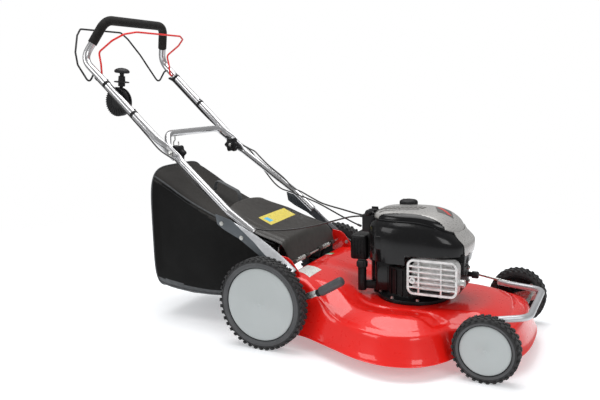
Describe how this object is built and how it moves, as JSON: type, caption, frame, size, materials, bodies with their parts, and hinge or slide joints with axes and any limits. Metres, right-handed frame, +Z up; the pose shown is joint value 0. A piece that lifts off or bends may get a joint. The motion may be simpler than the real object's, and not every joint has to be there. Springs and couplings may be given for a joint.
{
  "type": "lawn mower",
  "caption": "Walk-behind petrol rotary lawn mower with pressed steel deck, folding tube handle, two control bails and a rear fabric grass bag.",
  "frame": {"origin": "on the ground, under the centre of the mower's overall bounding box", "axes": "+X is the mower's forward direction, +Y its left side as seen by the person pushing it, +Z up"},
  "size_m": [1.565, 0.6603, 1.0299],
  "materials": {
    "red_paint": "gloss red enamel",
    "silver_paint": "satin silver enamel",
    "bright_tube": "polished plated tube",
    "zinc_steel": "zinc plated",
    "dark_steel": "black oxide",
    "cast_aluminium": "as cast",
    "black_gloss": "gloss black",
    "black_plastic": "fine texture",
    "silver_plastic": "silver satin",
    "wheel_grey": "pale grey moulding",
    "tyre_rubber": "dark grey rubber",
    "foam": "closed-cell foam",
    "bag_fabric": "woven mesh",
    "cable_sheath": "smooth sheath",
    "belt_rubber": "V-belt"
  },
  "bodies": {
    "mower": {"deck_shell": "red_paint", "front_bumper": "silver_paint", "handle_bracket_left": "silver_paint", "handle_bracket_right": "silver_paint", "lower_handle": "bright_tube", "rope_guide": "zinc_steel", "engine_block": "black_plastic", "blower_housing": "black_gloss", "top_cover": "silver_plastic", "fuel_tank": "black_plastic", "air_filter_cover": "black_plastic", "carburettor": "cast_aluminium", "muffler": "zinc_steel", "muffler_guard": "cast_aluminium", "spark_plug": "black_plastic", "gearbox": "cast_aluminium", "drive_belt": "belt_rubber", "brake_cable_lower": "cable_sheath", "throttle_cable_lower": "cable_sheath", "clutch_cable_lower": "cable_sheath", "flap_pin": "zinc_steel"},
    "height_adjuster": {"rear_axle_frame": "dark_steel", "height_lever_grip": "black_plastic"},
    "front_axle": {"front_axle": "dark_steel"},
    "height_link": {"height_link_rod": "dark_steel"},
    "rotor": {"crankshaft": "dark_steel", "flywheel": "cast_aluminium", "blade_hub_pulley": "cast_aluminium", "cutting_blade": "dark_steel", "blade_bolt": "zinc_steel"},
    "gearbox_pulley": {"gearbox_pulley": "black_plastic"},
    "drive_shaft": {"drive_shaft": "dark_steel"},
    "starter_grip": {"starter_grip": "black_plastic"},
    "fuel_cap": {"fuel_cap": "black_plastic"},
    "oil_cap": {"oil_cap": "black_plastic"},
    "rear_flap": {"rear_flap": "black_plastic"},
    "grass_bag": {"grass_bag": "bag_fabric", "bag_mouth_frame": "zinc_steel"},
    "upper_handle": {"upper_handle": "bright_tube", "foam_grip": "foam", "lever_housing": "black_plastic", "brake_cable_upper": "cable_sheath", "control_cables_upper": "cable_sheath"},
    "fold_knob_left": {"fold_knob_left": "black_plastic"},
    "fold_knob_right": {"fold_knob_right": "black_plastic"},
    "drive_bail": {"drive_bail": "black_gloss"},
    "brake_bail": {"brake_bail": "red_paint"},
    "speed_lever": {"speed_lever": "black_plastic"},
    "rear_left_wheel": {"rear_left_tyre": "tyre_rubber", "rear_left_rim": "wheel_grey", "rear_left_cover": "wheel_grey"},
    "rear_right_wheel": {"rear_right_tyre": "tyre_rubber", "rear_right_rim": "wheel_grey", "rear_right_cover": "wheel_grey"},
    "front_left_wheel": {"front_left_tyre": "tyre_rubber", "front_left_rim": "wheel_grey", "front_left_cover": "wheel_grey"},
    "front_right_wheel": {"front_right_tyre": "tyre_rubber", "front_right_rim": "wheel_grey", "front_right_cover": "wheel_grey"}
  },
  "joints": [
    {"name": "height_adjust", "type": "hinge", "parent": "mower", "child": "height_adjuster", "pos_m": [0.073, 0.03, 0.152], "axis": [0, 1, 0], "range_deg": [-28, 8]},
    {"name": "front_axle_swing", "type": "hinge", "parent": "mower", "child": "front_axle", "pos_m": [0.728, 0.03, 0.101], "axis": [0, 1, 0], "range_deg": [-28, 8]},
    {"name": "height_link_swing", "type": "hinge", "parent": "height_adjuster", "child": "height_link", "pos_m": [0.073, 0.2685, 0.182], "axis": [0, 1, 0], "range_deg": [-8, 28]},
    {"name": "rear_left_wheel_spin", "type": "hinge", "parent": "height_adjuster", "child": "rear_left_wheel", "pos_m": [0.028, 0.3088, 0.14], "axis": [0, 1, 0], "continuous": true},
    {"name": "front_left_wheel_spin", "type": "hinge", "parent": "front_axle", "child": "front_left_wheel", "pos_m": [0.683, 0.287, 0.089], "axis": [0, 1, 0], "continuous": true},
    {"name": "rear_right_wheel_spin", "type": "hinge", "parent": "height_adjuster", "child": "rear_right_wheel", "pos_m": [0.028, -0.2488, 0.14], "axis": [0, 1, 0], "continuous": true},
    {"name": "front_right_wheel_spin", "type": "hinge", "parent": "front_axle", "child": "front_right_wheel", "pos_m": [0.683, -0.227, 0.089], "axis": [0, 1, 0], "continuous": true},
    {"name": "crank_spin", "type": "hinge", "parent": "mower", "child": "rotor", "pos_m": [0.428, -0.03, 0.2], "axis": [0, 0, 1], "continuous": true},
    {"name": "gearbox_pulley_spin", "type": "hinge", "parent": "mower", "child": "gearbox_pulley", "pos_m": [0.128, 0.03, 0.117], "axis": [0, 0, 1], "continuous": true},
    {"name": "drive_shaft_spin", "type": "hinge", "parent": "mower", "child": "drive_shaft", "pos_m": [0.073, 0.03, 0.152], "axis": [0, 1, 0], "continuous": true},
    {"name": "starter_pull", "type": "slide", "parent": "mower", "child": "starter_grip", "axis": [-0.8, 0, 0.6], "range_m": [0, 0.45], "stiffness_N_per_m": 20, "springref_m": -0.05},
    {"name": "fuel_cap_turn", "type": "hinge", "parent": "mower", "child": "fuel_cap", "pos_m": [0.384, 0.0555, 0.4], "axis": [0, 0, 1], "range_deg": [0, 120]},
    {"name": "dipstick_lift", "type": "slide", "parent": "mower", "child": "oil_cap", "axis": [0, 0, 1], "range_m": [0, 0.1]},
    {"name": "flap_hinge", "type": "hinge", "parent": "mower", "child": "rear_flap", "pos_m": [0.067, 0.03, 0.238], "axis": [0, 1, 0], "range_deg": [0, 75], "stiffness_Nm_per_rad": 0.5, "springref_deg": -20.05, "deforming": ["brake_cable_lower", "throttle_cable_lower", "clutch_cable_lower"]},
    {"name": "bag_slide", "type": "slide", "parent": "mower", "child": "grass_bag", "axis": [-1, 0, 0], "range_m": [0, 0.55]},
    {"name": "handle_fold", "type": "hinge", "parent": "mower", "child": "upper_handle", "pos_m": [-0.338, 0.03, 0.573], "axis": [0, 1, 0], "range_deg": [0, 135], "deforming": ["brake_cable_lower", "throttle_cable_lower", "clutch_cable_lower", "brake_cable_upper", "control_cables_upper"]},
    {"name": "left_knob_turn", "type": "hinge", "parent": "mower", "child": "fold_knob_left", "pos_m": [-0.338, 0.195, 0.573], "axis": [0, 1, 0], "continuous": true},
    {"name": "right_knob_turn", "type": "hinge", "parent": "mower", "child": "fold_knob_right", "pos_m": [-0.338, -0.135, 0.573], "axis": [0, 1, 0], "continuous": true},
    {"name": "drive_bail_squeeze", "type": "hinge", "parent": "upper_handle", "child": "drive_bail", "pos_m": [-0.644, 0.03, 0.852], "axis": [0, 1, 0], "range_deg": [0, 42], "stiffness_Nm_per_rad": 0.6, "springref_deg": -28.65},
    {"name": "brake_bail_squeeze", "type": "hinge", "parent": "upper_handle", "child": "brake_bail", "pos_m": [-0.62, 0.03, 0.833], "axis": [0, 1, 0], "range_deg": [-26, 0], "stiffness_Nm_per_rad": 0.6, "springref_deg": 28.65},
    {"name": "speed_lever_swing", "type": "hinge", "parent": "upper_handle", "child": "speed_lever", "pos_m": [-0.56, -0.1515, 0.742], "axis": [0, 1, 0], "range_deg": [-11, 30]}
  ],
  "couplings": [
    {"joint": "front_axle_swing", "follows": "height_adjust", "ratio": 1},
    {"joint": "height_link_swing", "follows": "height_adjust", "ratio": -1},
    {"joint": "gearbox_pulley_spin", "follows": "crank_spin", "ratio": 0.8182}
  ]
}
